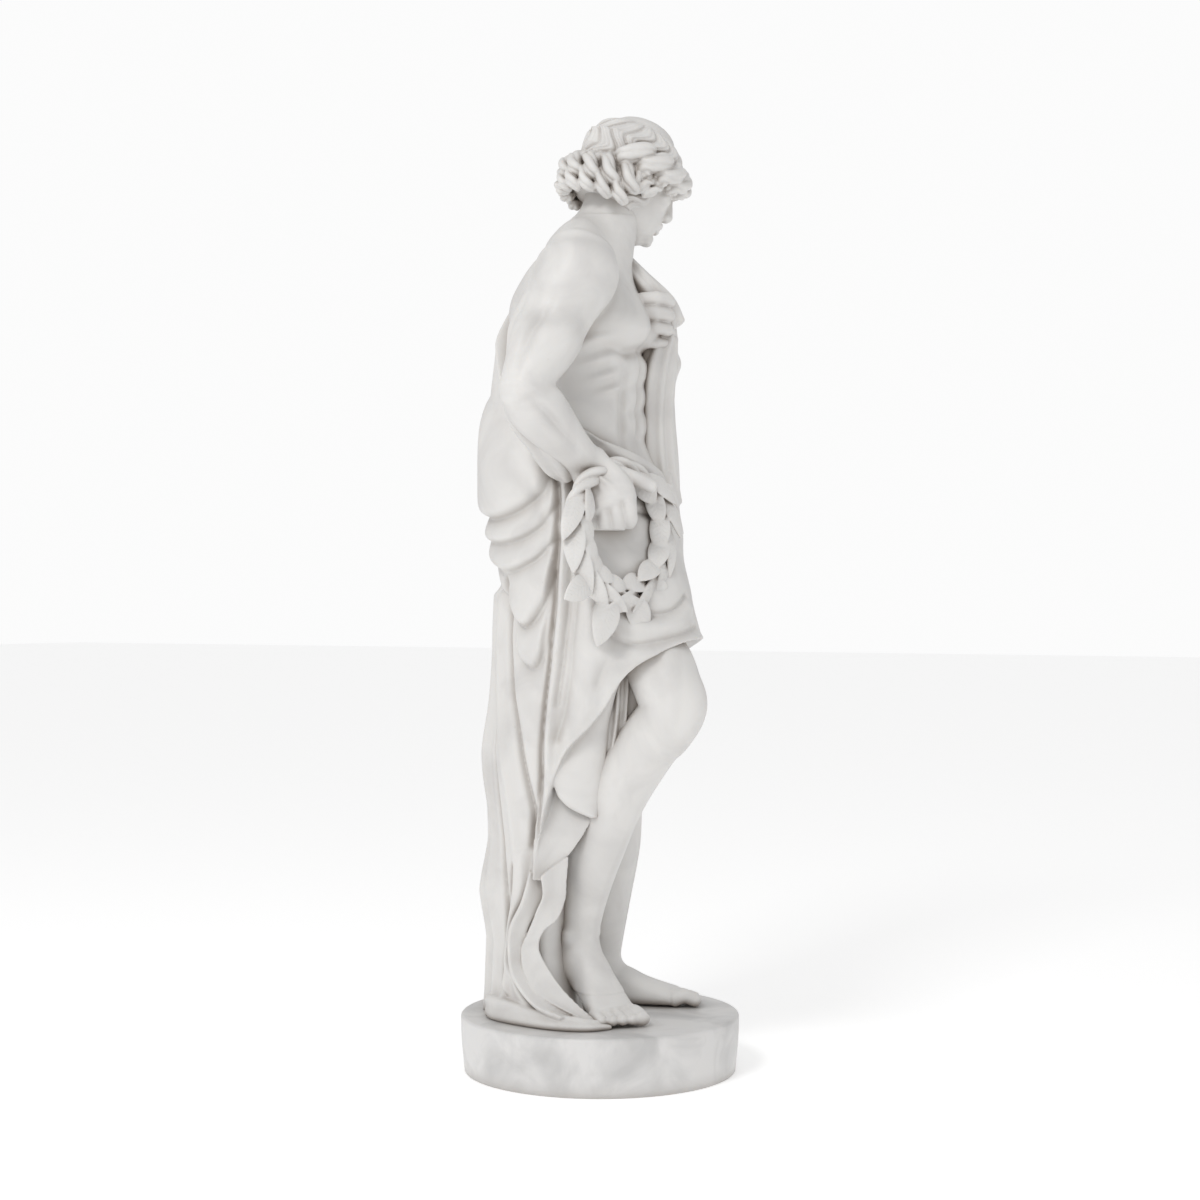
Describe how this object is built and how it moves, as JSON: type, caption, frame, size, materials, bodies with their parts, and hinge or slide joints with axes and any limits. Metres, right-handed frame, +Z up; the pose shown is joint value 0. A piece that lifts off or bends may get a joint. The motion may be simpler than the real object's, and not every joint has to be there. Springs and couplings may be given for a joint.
{
  "type": "classical marble statue",
  "caption": "Standing draped youth holding a laurel wreath, carved in marble, on a low round plinth.",
  "frame": {"origin": "centre of the plinth's underside, at floor level", "axes": "+Z up, the youth's pelvis faces -Y and the youth's left side is +X"},
  "size_m": [0.6542, 0.53, 1.8132],
  "materials": {
    "figure_marble": "honed white marble, warm in the hollows",
    "plinth_marble": "honed white marble with soft grey clouds"
  },
  "bodies": {
    "root": {"figure": "figure_marble", "plinth": "plinth_marble"}
  },
  "joints": []
}
